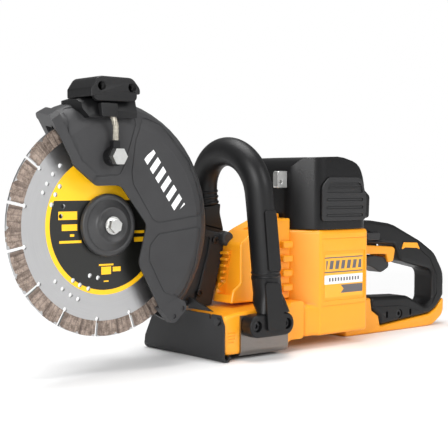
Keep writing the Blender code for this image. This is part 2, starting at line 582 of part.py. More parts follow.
def make_loop_handle():
    middle = (LOOP_NEAR_Y + LOOP_FAR_Y) / 2
    radius = (LOOP_FAR_Y - LOOP_NEAR_Y) / 2
    route = [loop_point(LOOP_NEAR_Y, z) for z in (-60, -20, 10)]
    route += [loop_point(y, z) for y, z in arc((middle, LOOP_ARC_Z), radius, 180, 0, 12)]
    route += [loop_point(LOOP_FAR_Y, LOOP_FAR_END)]
    swept("front_handle", "black", route, LOOP_HALF_X, LOOP_HALF_Y, (1, 0, 0), 18)

    bm = bmesh.new()
    rings = []
    sections = (
        (-60.4, 16, 15.3, 0, 12, LOOP_LEAN),
        (-64, 15.4, 15, 0, 12, LOOP_LEAN),
        (-80, 15.4, 14.6, -0.5, 11, 0),
        (-90, 19, 13, -2.3, 9, 0),
        (-101, 21.5, 7.6, -7.7, 6, 0),
    )
    for z, half_x, half_y, shift, corner, tilt in sections:
        centre = loop_point(LOOP_NEAR_Y + shift, z)
        corners = [(-half_x, -half_y, corner), (half_x, -half_y, corner), (half_x, half_y, corner),
                   (-half_x, half_y, corner)]
        corners = fillet(corners, 31)
        rings.append([bm.verts.new((centre[0] + u, centre[1] + v, z + u * tilt)) for u, v in corners])
    for lower, upper in zip(rings, rings[1:]):
        for index in range(len(lower)):
            after = (index + 1) % len(lower)
            bm.faces.new((lower[index], lower[after], upper[after], upper[index]))
    bm.faces.new(rings[0])
    bm.faces.new(list(reversed(rings[-1])))
    boot = put("handle_boot", "black", bm)
    tongue = fillet([(171.5, -66, 3), (193, -67.5, 3), (197, -92, 12), (203, -112, 5), (202, -119, 3),
                     (176, -119.8, 3)])
    cut(boot, prism("boot_tongue", None, tongue, -58.6, -56), "UNION")

    outline = fillet([(152.5, -127, 12.9), (218.5, -127, 12.9), (218.5, -101.3, 12.8), (152.5, -101.3, 12.8)])
    base = soften(prism("handle_base", "black", outline, -55.6, -38.5 - GAP), 2)
    for name, x in (("handle_screw_front", 163), ("handle_screw_rear", 208)):
        cut(base, rod("recess_for_" + name, None, (x, -114), 6.2, -70, -48, 20))
        socket_screw(name, (x, -114), 5.4, -52, -48.4)

    outline = fillet([(161, -5.0), (198, -13.2), (192, 8, 12), (193, 19.2), (167, 16.2), (169, 8, 12)])
    soften(prism("handle_far_base", "black", outline, 44, 70), 2)


def make_rear_handle():
    """The black grip is a ring open towards the body; the yellow spine runs under and behind it."""
    seam = [(566.5, -118.5), (555, -129.5), (540, -136), (438, -144), (435, -130), (422, -122), (420, -111)]
    top = [(371.4, -8), (415, -4, 60), (462, -10, 40), (520, -34, 40), (552, -52, 30), (571.5, -80, 24),
           (571.5, -112)]
    opening = [(420, -105), (494, -108, 20), (532, -125, 9), (547, -117, 8), (547, -76, 12), (500, -66, 20),
               (478, -60, 8), (468, -38, 6), (371.4, -33)]
    handle = prism("rear_handle", "black", fillet(top + seam + opening), GRIP_NEAR, GRIP_FAR)
    soften(handle, 8, 3, 50)
    cut(handle, rod("recess_for_grip_bolt", None, (476, -131), 6.3, 0, GRIP_NEAR + 6, 20))
    socket_screw("grip_bolt", (476, -131), 5.6, GRIP_NEAR + 1.5, GRIP_NEAR + 5.9)
    cut(handle, block("switch_room", None, (405, 21.5, -60), (446, 38.5, -21.5)))
    block("switch_block", "black", (406, 22, -44.5), (445, 38, -22))
    way = fillet([(408, -31, 4), (434, -31, 4), (434, -20, 4), (408, -20, 4)])
    cut(handle, prism("lock_off_way", None, way, -10, 20))

    below = [(371.4, -106), (371.4, FOOT_BOTTOM, 5), (547, FOOT_BOTTOM, 30), (571, -138, 16), (571.4, -116)]
    below += [(u + GAP, v - GAP) for u, v in seam[:4]] + [(u - GAP, v - GAP) for u, v in seam[4:]]
    below += [(419.7, -106)]
    soften(prism("handle_spine", "yellow", fillet(below), GRIP_NEAR, GRIP_FAR), 3, 2, 70)


def make_trigger():
    frame = fillet([(371.6, -33.6), (464, -40.6, 4), (469, -44, 3), (465.5, -60, 4), (456, -62, 3),
                    (452, -50, 3), (371.6, -47)])
    bezel = prism("trigger_frame", "yellow", frame, GRIP_NEAR + 2, GRIP_FAR - 2)
    soften(bezel, 1.5, 2, 50)
    cut(bezel, block("trigger_slot", None, (398, 13.5, -80), (464.2, 38.5, -43)))
    cut(bezel, block("switch_window", None, (405, 21.5, -50), (446, 38.5, -25)))
    lever = fillet([(404, -53.0, 3), (430, -50.5), (452, -54), (460, -60, 4), (462, -68, 5), (446, -75, 8),
                    (430, -67, 12), (404, -60, 3)])
    soften(prism("trigger", "panel_grey", lever, 14, 38, pivot=(406, 26, -54)), 2)
    pad = fillet([(408.4, -30.6, 3.6), (433.6, -30.6, 3.6), (433.6, -20.4, 3.6), (408.4, -20.4, 3.6)])
    soften(prism("lock_off_button", "panel_grey", pad, GRIP_NEAR - 2.5, GRIP_NEAR + 8), 1, 1)


clear_scene()
make_spindle()
make_guard()
make_drive()
make_body()
make_hood()
make_battery()
make_loop_handle()
make_rear_handle()
make_trigger()
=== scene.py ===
"""The looks of a cordless rescue cut-off saw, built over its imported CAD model.

Places are given in the saw's own millimetres: X runs back from the blade's
axis, Y across from the blade's plane to the drive arm, and Z up from the axis.
"""
import json
import math

import bpy
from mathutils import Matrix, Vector

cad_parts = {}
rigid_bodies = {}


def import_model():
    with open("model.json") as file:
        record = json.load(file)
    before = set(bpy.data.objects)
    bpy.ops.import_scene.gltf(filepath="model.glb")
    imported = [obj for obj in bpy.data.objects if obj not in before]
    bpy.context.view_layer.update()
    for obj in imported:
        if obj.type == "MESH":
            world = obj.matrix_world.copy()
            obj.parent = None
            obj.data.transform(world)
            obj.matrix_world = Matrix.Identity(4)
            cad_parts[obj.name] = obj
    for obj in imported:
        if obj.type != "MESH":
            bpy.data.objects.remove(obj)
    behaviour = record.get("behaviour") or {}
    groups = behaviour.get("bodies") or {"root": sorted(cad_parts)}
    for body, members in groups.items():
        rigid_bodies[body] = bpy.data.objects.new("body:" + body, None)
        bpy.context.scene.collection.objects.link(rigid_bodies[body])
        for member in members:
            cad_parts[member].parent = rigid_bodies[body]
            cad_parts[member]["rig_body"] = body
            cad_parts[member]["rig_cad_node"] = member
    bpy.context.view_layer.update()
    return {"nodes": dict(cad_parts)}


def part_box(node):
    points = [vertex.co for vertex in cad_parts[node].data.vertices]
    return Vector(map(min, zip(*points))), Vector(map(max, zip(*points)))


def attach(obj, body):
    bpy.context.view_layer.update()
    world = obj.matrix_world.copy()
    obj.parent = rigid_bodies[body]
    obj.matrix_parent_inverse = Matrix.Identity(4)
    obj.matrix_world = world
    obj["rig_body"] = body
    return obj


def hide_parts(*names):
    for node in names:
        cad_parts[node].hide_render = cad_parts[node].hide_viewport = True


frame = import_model()

# ----------------------------------------------------------------------------
# The studio: a long lens at the height of the grips, a pale floor that runs on
# past the edges of the view, and three large soft lamps under a white sky.
# ----------------------------------------------------------------------------

MM = 0.001
blade_low, blade_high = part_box("blade")
AXLE = (blade_low + blade_high) / 2


def at(x, y, z):
    """The place that is x, y and z millimetres from the blade's centre, in metres."""
    return AXLE + Vector((x, y, z)) * MM


CAMERA_PLACE = (-594.35, -890.85, 47.12)
CAMERA_TURN = (87.55, -0.26, -40.26)
bpy.ops.object.camera_add(location=at(*CAMERA_PLACE), rotation=[math.radians(turn) for turn in CAMERA_TURN])
camera = bpy.context.object
camera.data.lens = 82.9
camera.data.sensor_width = 36.0
bpy.context.scene.camera = camera
bpy.context.scene.view_settings.view_transform = "Standard"


class Wire:
    """One output of a shader node, on which sums are written as plain Python."""

    def __init__(self, tree, socket=None):
        self.tree = tree
        self.socket = socket

    def node(self, kind, settings=None, inputs=None, output=0):
        """Add a node: its settings come first, then the values or wires of its inputs."""
        made = self.tree.nodes.new("ShaderNode" + kind)
        for name, value in (settings or {}).items():
            if name == "stops":
                elements = made.color_ramp.elements
                while len(elements) < len(value):
                    elements.new(1.0)
                for element, (place, shade) in zip(elements, value):
                    element.position = place
                    element.color = shade
            else:
                setattr(made, name, value)
        for name, value in (inputs or {}).items():
            if isinstance(value, Wire):
                self.tree.links.new(value.socket, made.inputs[name])
            else:
                made.inputs[name].default_value = value
        return Wire(self.tree, made.outputs[output])

    def maths(self, operation, first, second=0.0):
        return self.node("Math", {"operation": operation}, {0: first, 1: second})

    def __add__(self, other):
        return self.maths("ADD", self, other)

    def __sub__(self, other):
        return self.maths("SUBTRACT", self, other)

    def __rsub__(self, other):
        return self.maths("SUBTRACT", other, self)

    def __mul__(self, other):
        return self.maths("MULTIPLY", self, other)

    def __lt__(self, other):
        return self.maths("LESS_THAN", self, other)

    def __gt__(self, other):
        return self.maths("GREATER_THAN", self, other)

    def __abs__(self):
        return self.maths("ABSOLUTE", self)

    __radd__ = __add__
    __rmul__ = __mul__

    def sine(self):
        return self.maths("SINE", self)

    def noise(self, place, scale, detail=3.0, roughness=0.5):
        inputs = {"Vector": place, "Scale": scale, "Detail": detail, "Roughness": roughness}
        return self.node("TexNoise", {}, inputs)

    def mix(self, factor, first, second):
        """Blend two colours; sockets 6 and 7 of a Mix node are its colours."""
        return self.node("Mix", {"data_type": "RGBA"}, {0: factor, 6: first, 7: second}, 2)

    def soft_step(self, low, high):
        inputs = {"Value": self, "From Min": low, "From Max": high}
        return self.node("MapRange", {"interpolation_type": "SMOOTHSTEP"}, inputs)


def socket_name(word):
    return word.replace("_", " ").title().replace("Ior", "IOR")


def new_finish(name, **constants):
    """A material, its shader node and a loose wire in its tree to build from."""
    made = bpy.data.materials.new(name)
    made.use_nodes = True
    shader = made.node_tree.nodes["Principled BSDF"]
    for socket, value in constants.items():
        shader.inputs[socket_name(socket)].default_value = value
    return made, shader, Wire(made.node_tree)


def saw_place(wire):
    """The shaded point's place on the saw, in millimetres: a vector wire and its three parts."""
    coordinates = wire.node("TexCoord", output=3)
    moved = wire.node("VectorMath", {"operation": "SUBTRACT"}, {0: coordinates, 1: AXLE})
    scaled = wire.node("VectorMath", {"operation": "SCALE"}, {0: moved, "Scale": 1 / MM})
    parts = [wire.node("SeparateXYZ", {}, {0: scaled}, index) for index in range(3)]
    return scaled, parts[0], parts[1], parts[2]


def feed(shader, bump=None, strength=0.3, depth=0.1, **wires):
    """Plug wires into the shader; bump is a height in tenths of a millimetre or so."""
    for socket, wire in wires.items():
        target = shader.inputs[socket_name(socket)]
        wire.tree.links.new(wire.socket, target)
    if bump:
        inputs = {"Height": bump, "Strength": strength, "Distance": depth * MM}
        normal = bump.node("Bump", {}, inputs)
        bump.tree.links.new(normal.socket, shader.inputs["Normal"])


bpy.ops.mesh.primitive_plane_add(size=14.0, location=(0.0, 0.0, 0.0))
floor = bpy.context.object
floor.name = "studio_floor"
floor_paint, floor_shader, wire = new_finish("floor_paint", roughness=0.7, emission_strength=0.78)
across_floor = wire.node("TexCoord", output=3)
mottle = wire.noise(across_floor, 3.0)
distance = wire.node("VectorMath", {"operation": "LENGTH"}, {0: across_floor}, 1)
far_glow = distance.soft_step(0.4, 2.2)
feed(floor_shader, base_color=wire.mix(mottle, (0.88, 0.88, 0.88, 1), (0.92, 0.92, 0.92, 1)),
     emission_color=wire.mix(far_glow, (0.0, 0.0, 0.0, 1), (1.0, 1.0, 1.0, 1)))
floor.data.materials.append(floor_paint)

SKY_SEEN = 1.0
SKY_GLOW = 0.26
world = bpy.data.worlds.new("white_sky")
world.use_nodes = True
sky = world.node_tree.nodes["Background"].inputs
sky["Color"].default_value = (1.0, 1.0, 1.0, 1.0)
seen_straight_on = Wire(world.node_tree).node("LightPath")
world.node_tree.links.new((seen_straight_on * (SKY_SEEN - SKY_GLOW) + SKY_GLOW).socket, sky["Strength"])
bpy.context.scene.world = world

LAMPS = (
    ("overhead", (150, 150, 1500), 1.1, 27.0),
    ("front_left", (-1500, -900, 600), 0.9, 29.0),
    ("front_right", (700, -1700, 900), 0.9, 16.0),
)
for name, place, size, power in LAMPS:
    bpy.ops.object.light_add(type="AREA", location=at(*place))
    lamp = bpy.context.object
    lamp.name = name
    lamp.data.size = size
    lamp.data.energy = power
    lamp.rotation_euler = (at(150, 0, -20) - lamp.location).to_track_quat("-Z", "Y").to_euler()

# ----------------------------------------------------------------------------
# The blade: a slotted steel core with fifteen sintered segments brazed to its
# rim, punched with cooling holes, and a printed paper disc glued to its face.
# ----------------------------------------------------------------------------

SEGMENTS = 15
FIRST_SLOT = 167.5
SLOT_HALF = 1.5
SEGMENT_FOOT = 98.8
RIM = 115.0


def polar(radius, degrees):
    turn = math.radians(degrees)
    return radius * math.cos(turn), radius * math.sin(turn)


def deselect():
    bpy.ops.object.select_all(action="DESELECT")


def take(piece):
    """Make this piece the only one selected, and the one that operators act on."""
    deselect()
    piece.hide_set(False)
    piece.select_set(True)
    bpy.context.view_layer.objects.active = piece
    return piece


def in_edit_mode(piece, *steps):
    take(piece)
    bpy.ops.object.mode_set(mode="EDIT")
    bpy.ops.mesh.select_all(action="SELECT")
    for step in steps:
        step()
    bpy.ops.object.mode_set(mode="OBJECT")
    return piece


def face_outwards():
    bpy.ops.mesh.select_all(action="SELECT")
    bpy.ops.mesh.normals_make_consistent(inside=False)


def smooth(piece, angle=35):
    take(piece)
    bpy.ops.object.shade_smooth_by_angle(angle=math.radians(angle))
    return piece


def apply_modifier(piece, kind, **settings):
    take(piece)
    modifier = piece.modifiers.new(kind.lower(), kind)
    for name, value in settings.items():
        setattr(modifier, name, value)
    bpy.ops.object.modifier_apply(modifier=modifier.name)
    return piece


def rounded(piece, width, segments=3, angle=40):
    """Round every edge sharper than the angle."""
    return apply_modifier(piece, "BEVEL", width=width * MM, segments=segments, limit_method="ANGLE",
                          angle_limit=math.radians(angle), use_clamp_overlap=True)


def carve(piece, *cutters, operation="DIFFERENCE"):
    """Cut each cutter out of the piece, or join it on, and throw the cutter away."""
    for cutter in cutters:
        apply_modifier(piece, "BOOLEAN", object=cutter, operation=operation)
        bpy.data.objects.remove(cutter)
    return piece


def joined(name, pieces):
    """Make one object out of several that don't touch."""
    deselect()
    for piece in pieces:
        piece.select_set(True)
    bpy.context.view_layer.objects.active = pieces[0]
    bpy.ops.object.join()
    pieces[0].name = name
    return pieces[0]


def slab(name, outline, low, high, across="Y"):
    """Extrude an outline along one axis; it is drawn in the other two axes, in their order."""
    deselect()
    bpy.ops.mesh.primitive_circle_add(vertices=len(outline), radius=MM, fill_type="NGON")
    piece = bpy.context.object
    piece.name = name
    push = Vector([(high - low) * MM if axis == across else 0.0 for axis in "XYZ"])
    for vert, (u, v) in zip(piece.data.vertices, outline):
        place = {"X": (low, u, v), "Y": (u, low, v), "Z": (u, v, low)}[across]
        vert.co = at(*place)
    return in_edit_mode(piece,
                        lambda: bpy.ops.mesh.extrude_region_move(TRANSFORM_OT_translate={"value": push}),
                        face_outwards)


def brick(name, low, high):
    outline = [(low[0], low[2]), (high[0], low[2]), (high[0], high[2]), (low[0], high[2])]
    return slab(name, outline, low[1], high[1])


def pin(name, x, z, radius, low, high, sides=24):
    """A round bar along Y."""
    deselect()
    bpy.ops.mesh.primitive_cylinder_add(vertices=sides, radius=radius * MM, depth=(high - low) * MM,
                                        location=at(x, (low + high) / 2, z), rotation=(math.pi / 2, 0, 0))
    bpy.context.object.name = name
    bpy.ops.object.transform_apply(location=True, rotation=True, scale=True)
    return bpy.context.object


def refined(node, name, angle=35, flatten=True):
    """A smooth-shaded copy of a CAD node with its triangles merged."""
    piece = frame["nodes"][node].copy()
    piece.data = piece.data.copy()
    piece.data.materials.clear()
    piece.parent = None
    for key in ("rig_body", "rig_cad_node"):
        del piece[key]
    piece.name = name
    bpy.context.scene.collection.objects.link(piece)
    steps = [lambda: bpy.ops.mesh.remove_doubles(threshold=0.002 * MM)]
    if flatten:
        steps.append(lambda: bpy.ops.mesh.dissolve_limited(angle_limit=math.radians(1.0)))
    in_edit_mode(piece, *steps, face_outwards)
    return smooth(piece, angle)


def finished(piece, body, slot, material, *nodes, angle=35, even=True):
    """Shade, paint and hang a piece on its body, in place of the CAD nodes it stands for."""
    smooth(piece, angle)
    if even:
        apply_modifier(piece, "WEIGHTED_NORMAL", keep_sharp=True, weight=50)
    piece.data.materials.clear()
    piece.data.materials.append(material)
    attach(piece, body)
    if nodes:
        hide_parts(*nodes)
    return piece


core = refined("blade", "blade_core")
HOLE_RINGS = ((81.5, (47.8, 39.7, 31.5, 24.5)), (68.0, (35.9, 27.8, 18.5)), (55.0, (21.1, 10.5)))
holes = []
for quarter in range(4):
    for radius, angles in HOLE_RINGS:
        for angle in angles:
            x, z = polar(radius, 180 - angle + quarter * 90)
            holes.append(pin("cooling_hole", x, z, 2.5, -3, 3, 12))
carve(core, joined("cooling_holes", holes))

core_steel, core_shader, wire = new_finish("blade_steel_and_label")
place, x, y, z = saw_place(wire)
radius = ((x * x) + (z * z)).maths("SQRT", (x * x) + (z * z))
swirl = wire.node("CombineXYZ", {}, {0: radius * 1.4, 1: z.maths("ARCTAN2", z, x) * 1.2})
brushing = wire.noise(swirl, 1.6, 5.0, 0.7)
LABEL_RADIUS = 72.0
LABEL_INNER = 67.0
LABEL_TOP = 25.6
on_label = (radius < LABEL_RADIUS) * (y < -1.0)
on_black = (radius < LABEL_INNER) * (z < LABEL_TOP) * on_label
BARS = ((-46, 10.5, 11, 4.2), (-44, -1.5, 9, 3.2), (-41, -9.5, 2.5, 1.2), (-43, -16, 13, 1.3),
        (0, -41, 9, 0.9), (0, -47, 6, 4.0), (13, -46, 5, 2.4), (0, -58, 3, 0.7),
        (41, -8, 7, 1.5), (41, -16, 6, 2.5))
bars = 0.0
for bar_x, bar_z, half_length, half_height in BARS:
    bar = (abs(x - bar_x) < half_length) * (abs(z - bar_z) < half_height)
    bars = bar + bars
bars = (bars * on_black) > 0.5
STEEL_LIGHT = (0.55, 0.55, 0.55, 1)
STEEL_DULL = (0.40, 0.40, 0.41, 1)
LABEL_YELLOW = (1.0, 0.55, 0.008, 1)
LABEL_BLACK = (0.008, 0.008, 0.007, 1)
steel_colour = wire.mix(brushing, STEEL_DULL, STEEL_LIGHT)
paper_colour = wire.mix(on_black, LABEL_YELLOW, wire.mix(bars, LABEL_BLACK, LABEL_YELLOW))
feed(core_shader, bump=brushing, strength=0.25, depth=0.04,
     base_color=wire.mix(on_label, steel_colour, paper_colour),
     metallic=1.0 - on_label, roughness=(1.0 - on_label) * (brushing * 0.25 + 0.25) + on_label * 0.38)
finished(core, "spindle", "blade", core_steel, "blade")


def segment_outline(start, end):
    """One rim segment: stepped at its ends and notched in the middle."""
    middle = (start + end) / 2
    outline = [polar(SEGMENT_FOOT, start + (end - start) * step / 6) for step in range(7)]
    edge = ((end, RIM - 2.2), (end - 1.6, RIM - 2.0), (end - 2.0, RIM - 0.2), (end - 5.0, RIM),
            (middle + 2.2, RIM), (middle + 1.4, RIM - 0.6), (middle + 0.2, RIM - 3.0),
            (middle - 0.6, RIM - 0.9), (middle - 3.2, RIM - 0.5), (start + 4.5, RIM - 0.3),
            (start + 1.4, RIM - 0.8), (start, RIM - 1.6))
    return outline + [polar(radius, angle) for angle, radius in edge]


rim_segments = []
pitch = 360 / SEGMENTS
for number in range(SEGMENTS):
    slot_angle = FIRST_SLOT + number * pitch
    gap = math.degrees(SLOT_HALF / RIM) + 0.1
    outline = segment_outline(slot_angle + gap, slot_angle + pitch - gap)
    rim_segments.append(slab("rim_segment", outline, -1.85, 1.85))
rim = joined("blade_segments", rim_segments)
rounded(rim, 0.3, 2)

sintered, rim_shader, wire = new_finish("sintered_segments")
place, x, y, z = saw_place(wire)
turn = z.maths("ARCTAN2", z, x)
grit = wire.noise(place, 0.9, 6.0, 0.75)
flecks = wire.noise(place, 0.22, 4.0, 0.6)
ribs = (turn * 104.0 + flecks * 2.0).sine().soft_step(0.55, 1.0)
seams = (turn * 30.0 + flecks * 1.5).sine().soft_step(0.8, 1.0)
GRIT_DARK = (0.13, 0.095, 0.075, 1)
GRIT_LIGHT = (0.42, 0.335, 0.28, 1)
SEAM_DARK = (0.085, 0.06, 0.05, 1)
stone = wire.mix(((grit + flecks) * 0.5).soft_step(0.36, 0.66), GRIT_DARK, GRIT_LIGHT)
lines = ribs * 0.35 + seams * 0.55
stone = wire.mix(lines.maths("MINIMUM", lines, 0.8), stone, SEAM_DARK)
feed(rim_shader, bump=grit - ribs * 0.7 - seams, strength=0.8, depth=0.5, base_color=stone,
     roughness=grit * 0.3 + 0.55, metallic=grit * 0.25 + 0.1)
finished(rim, "spindle", "blade", sintered, angle=30)

# ----------------------------------------------------------------------------
# The clamp: a dished outer flange of blackened steel and a flanged hexagon
# bolt hold the blade on its shaft; behind it sits the plain inner flange.
# ----------------------------------------------------------------------------


def lathed(name, profile, steps=64):
    """Turn a closed (radius, y) profile about the blade's axis."""
    deselect()
    bpy.ops.mesh.primitive_circle_add(vertices=len(profile), radius=MM, fill_type="NOTHING")
    piece = bpy.context.object
    piece.name = name
    for vert, (radius, along) in zip(piece.data.vertices, profile):
        vert.co = at(radius, along, 0)
    return in_edit_mode(piece,
                        lambda: bpy.ops.mesh.spin(steps=steps, angle=math.tau, center=AXLE, axis=(0, 1, 0)),
                        lambda: bpy.ops.mesh.select_all(action="SELECT"),
                        lambda: bpy.ops.mesh.remove_doubles(threshold=0.005 * MM),
                        face_outwards)


def hexagon(radius, x=0.0, z=0.0, start=30):
    return [(x + u, z + v) for u, v in (polar(radius, start + step * 60) for step in range(6))]


def coated_metal(name, colour, roughness=0.5, grain=1.1, sheen=0.35, gloss=0.35):
    """Powder coat or blackening: a fine orange-peel surface with faint rubbed patches."""
    made, shader, wire = new_finish(name, specular_ior_level=gloss)
    place, x, y, z = saw_place(wire)
    peel = wire.noise(place, grain, 3.0, 0.6)
    wear = wire.noise(place, 0.035, 4.0, 0.65)
    lighter = tuple(channel * (1 + sheen) + 0.004 for channel in colour) + (1,)
    darker = tuple(channel * (1 - sheen * 0.6) for channel in colour) + (1,)
    feed(shader, bump=peel, strength=0.22, depth=0.12,
         base_color=wire.mix(wear * 0.8 + peel * 0.2, darker, lighter),
         roughness=wear * 0.14 + peel * 0.06 + (roughness - 0.1))
    return made


flange_black = coated_metal("flange_blackening", (0.034, 0.034, 0.035), 0.42)
DISH = [(5.5, -1.7), (31.2, -1.7), (32.5, -3.0), (32.5, -6.6), (31.6, -8.0), (29.5, -8.9),
        (27.6, -8.9), (26.4, -8.2), (20.4, -11.6), (19.4, -13.2), (18.0, -14.0),
        (16.4, -13.9), (15.2, -12.8), (11.2, -12.2), (5.5, -12.2)]
disc = lathed("clamp_flange", DISH)
finished(disc, "spindle", "outer_flange", flange_black, "outer_flange", angle=50)


def metal(name, light, dark, roughness, stretch=(1, 1, 1), grain=0.5):
    """Bare or plated metal with drawn-out machining marks."""
    made, shader, wire = new_finish(name, metallic=1.0)
    place, x, y, z = saw_place(wire)
    drawn = wire.node("Mapping", {}, {"Vector": place, "Scale": stretch})
    marks = wire.noise(drawn, grain, 5.0, 0.7)
    stain = wire.noise(place, 0.06, 3.0)
    feed(shader, bump=marks, strength=0.25, depth=0.03,
         base_color=wire.mix(marks * 0.6 + stain * 0.4, dark, light),
         roughness=marks * 0.16 + stain * 0.1 + (roughness - 0.1))
    return made


bright_steel = metal("zinc_plate", (0.78, 0.78, 0.76, 1), (0.50, 0.50, 0.49, 1), 0.3)
dark_steel = metal("black_oxide", (0.10, 0.10, 0.105, 1), (0.03, 0.03, 0.03, 1), 0.4)
BOLT_SHAPE = [(0, -14.6), (9.2, -14.6), (9.2, -13.6), (8.8, -12.6), (5.0, -12.5), (5.0, 14), (0, 14)]
bolt = lathed("clamp_bolt", BOLT_SHAPE, 40)
head = rounded(slab("bolt_head", hexagon(7.7, start=18), -20.5, -14.2), 0.7, 2)
carve(bolt, head, operation="UNION")
finished(bolt, "spindle", "bright_steel", bright_steel, "flange_bolt", angle=30)
back_disc = refined("inner_flange", "clamp_inner_flange")
finished(back_disc, "spindle", "dark_steel", dark_steel, "inner_flange")
shaft = refined("spindle_shaft", "spindle")
finished(shaft, "spindle", "bright_steel", bright_steel, "spindle_shaft")
pulley = refined("spindle_pulley", "pulley_of_spindle")
finished(pulley, "spindle", "dark_steel", dark_steel, "spindle_pulley")

# ----------------------------------------------------------------------------
# The guard: a cast shell in two halves under a fine grey powder coat. Grooves
# outline the panels of its near face, and a raised lip runs down its front.
# ----------------------------------------------------------------------------

GUARD_RADIUS = 130.0
GUARD_FACE = -20.0
GUARD_CURVE = 25.0
GUARD_SEAM = 5.0
PANELS = (
    ((-58, 80), (-25, 50), (4, 52), (10, 63), (24, 105), (20, 116), (-20, 124), (-54, 116)),
    ((24, 88), (19, 55), (21, 42), (46, 5), (53, 2), (111, 9), (113, 25), (96, 66), (60, 104), (34, 112)),
    ((53, -10), (42, -22), (41, -37), (61, -73), (86, -79), (102, -45), (112, -3)),
)
GROOVE_HALF = 0.75
GROOVE_DEPTH = 0.7


def arc(centre, radius, start, end, steps):
    """Points on an arc, with angles in degrees up from the rear."""
    turns = [start + (end - start) * step / steps for step in range(steps + 1)]
    return [(centre[0] + u, centre[1] + v) for u, v in (polar(radius, turn) for turn in turns)]


def eased(corners, radius, steps=5):
    """Round every corner of a closed outline; a corner may carry its own radius."""
    outline = []
    for index, corner in enumerate(corners):
        point = Vector(corner[:2])
        size = corner[2] if len(corner) > 2 else radius
        before = Vector(corners[index - 1][:2]) - point
        after = Vector(corners[(index + 1) % len(corners)][:2]) - point
        half = before.angle(after) / 2
        reach = min(size / math.tan(half), before.length * 0.48, after.length * 0.48)
        first = point + before.normalized() * reach
        last = point + after.normalized() * reach
        for step in range(steps + 1):
            share = step / steps
            outline.append(tuple(first.lerp(point, share).lerp(point.lerp(last, share), share)))
    return outline


def ribbon(name, outline, half_width, low, high, closed=True):
    """A thin wall that follows an outline."""
    points = [Vector(point) for point in outline]
    sides = []
    for index, point in enumerate(points):
        before = points[index - 1] if closed or index else point
        after = points[(index + 1) % len(points)] if closed or index + 1 < len(points) else point
        along = (after - before).normalized()
        sides.append(Vector((-along.y, along.x)) * half_width)
    left = [tuple(point + side) for point, side in zip(points, sides)]
    right = [tuple(point - side) for point, side in zip(points, sides)]
    if not closed:
        return slab(name, left + right[::-1], low, high)
    outer, inner = (left, right) if abs(area(left)) > abs(area(right)) else (right, left)
    return carve(slab(name, outer, low, high), slab("inner_edge", inner, low - 1, high + 1))


def area(outline):
    return sum(a[0] * b[1] - b[0] * a[1] for a, b in zip(outline, outline[1:] + outline[:1])) / 2


bend = (GUARD_RADIUS - GUARD_CURVE, GUARD_SEAM)
skin = lathed("guard_skin", [(30, GUARD_FACE - 2)] + arc(bend, GUARD_CURVE + 2, 270, 352, 10)
              + arc(bend, GUARD_CURVE - GROOVE_DEPTH, 352, 270, 10) + [(30, GUARD_FACE + GROOVE_DEPTH)], 90)
grooves = [ribbon("panel_groove", eased(panel, 7), GROOVE_HALF, GUARD_FACE - 1, 0) for panel in PANELS]
for groove in grooves[1:]:
    carve(grooves[0], groove, operation="UNION")
carve(grooves[0], skin, operation="INTERSECT")
shell = refined("guard_shell", "guard_near_half")
carve(shell, grooves[0])
GUARD_GREY = (0.030, 0.030, 0.0315)
guard_coat = coated_metal("guard_powder_coat", GUARD_GREY, 0.55, 1.3)
marked_coat = coated_metal("marked_guard_coat", GUARD_GREY, 0.55, 1.3)
MARK_LEAN = math.radians(53.8)
MARK_MIDDLE = 76.0
MARK_HALF = (35.5, 7.8)
MARK_PITCH = 11.9
MARK_WHITE = (0.85, 0.85, 0.85, 1)
wire = Wire(marked_coat.node_tree)
place, x, y, z = saw_place(wire)
along = x * math.cos(MARK_LEAN) - z * math.sin(MARK_LEAN)
across = x * math.sin(MARK_LEAN) + z * math.cos(MARK_LEAN) - MARK_MIDDLE
slashes = ((along + across * 0.25) * (math.tau / MARK_PITCH)).sine() > -0.25
mark = (abs(along) < MARK_HALF[0]) * (abs(across) < MARK_HALF[1]) * slashes * (y < GUARD_FACE + 1.0)
coat_colour = marked_coat.node_tree.nodes["Principled BSDF"].inputs["Base Color"]
plain_coat = Wire(marked_coat.node_tree, coat_colour.links[0].from_socket)
wire.tree.links.new(wire.mix(mark, plain_coat, MARK_WHITE).socket, coat_colour)
finished(shell, "guard", "guard_paint", marked_coat, "guard_shell", angle=32)
finished(refined("guard_back", "guard_far_half"), "guard", "guard_paint", guard_coat, "guard_back")
lip = refined("guard_lip", "guard_front_lip")
finished(lip, "guard", "guard_paint", guard_coat, "guard_lip")
for node in ("guard_screw_upper", "guard_screw_lower"):
    screw = refined(node, node + "_head")
    finished(screw, "guard", "dark_steel", dark_steel, node)

# ----------------------------------------------------------------------------
# The guard's handle: a moulded capsule on a saddle that is clamped over the
# rim. A braided hose drops from its boss to a banjo bolt that feeds the blade.
# ----------------------------------------------------------------------------


def plastic(name, colour, roughness=0.45, grain=0.9, variation=0.15, bump=0.18, gloss=0.3):
    """Moulded plastic: a fine spark-eroded grain, with slightly uneven gloss."""
    made, shader, wire = new_finish(name, specular_ior_level=gloss)
    place, x, y, z = saw_place(wire)
    leather = wire.noise(place, grain, 2.0, 0.5)
    cloud = wire.noise(place, 0.02, 3.0, 0.55)
    lighter = tuple(min(1.0, channel * (1 + variation)) for channel in colour) + (1,)
    darker = tuple(channel * (1 - variation) for channel in colour) + (1,)
    feed(shader, bump=leather, strength=bump, depth=0.1, base_color=wire.mix(cloud, darker, lighter),
         roughness=cloud * 0.16 + leather * 0.06 + (roughness - 0.1))
    return made


